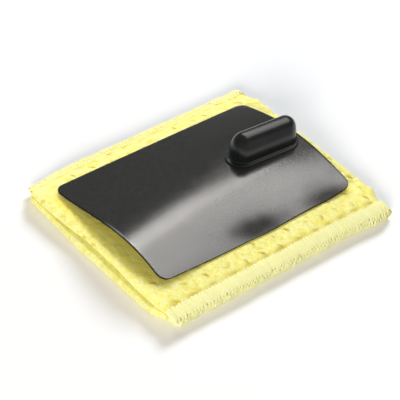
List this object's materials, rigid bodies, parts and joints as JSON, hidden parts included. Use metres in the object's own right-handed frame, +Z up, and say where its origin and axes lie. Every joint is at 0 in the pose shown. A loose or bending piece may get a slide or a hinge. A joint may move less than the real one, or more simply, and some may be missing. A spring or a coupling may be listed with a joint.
{
  "type": "chalkboard eraser",
  "caption": "Chalkboard eraser: a folded, overlocked knit wiping cloth under a thin arched holder plate with a grip knob near one end.",
  "frame": {"origin": "middle of the wiping face, on the table", "axes": "+X from the end with two folds to the end with one fold, +Y from the front seam to the rear seam, +Z up"},
  "size_m": [0.182, 0.161, 0.0438],
  "materials": {
    "knit_cloth": "fuzzy dimpled knit",
    "overlock_thread": "spun thread",
    "plate_plastic": "semi-gloss, finely grained",
    "knob_plastic": "satin moulded",
    "hook_tape": "woven hook tape",
    "screw_steel": "zinc plated"
  },
  "bodies": {
    "cloth": {"wiping_cloth": "knit_cloth", "front_overlock_seam": "overlock_thread", "rear_overlock_seam": "overlock_thread"},
    "holder": {"holder_plate": "plate_plastic", "front_hook_strip": "hook_tape", "rear_hook_strip": "hook_tape", "grip_knob": "knob_plastic", "knob_screws": "screw_steel", "knob_washers": "screw_steel"}
  },
  "joints": [
    {"name": "holder_lift", "type": "slide", "parent": "cloth", "child": "holder", "axis": [0, 0, 1], "range_m": [0, 0.08]}
  ]
}
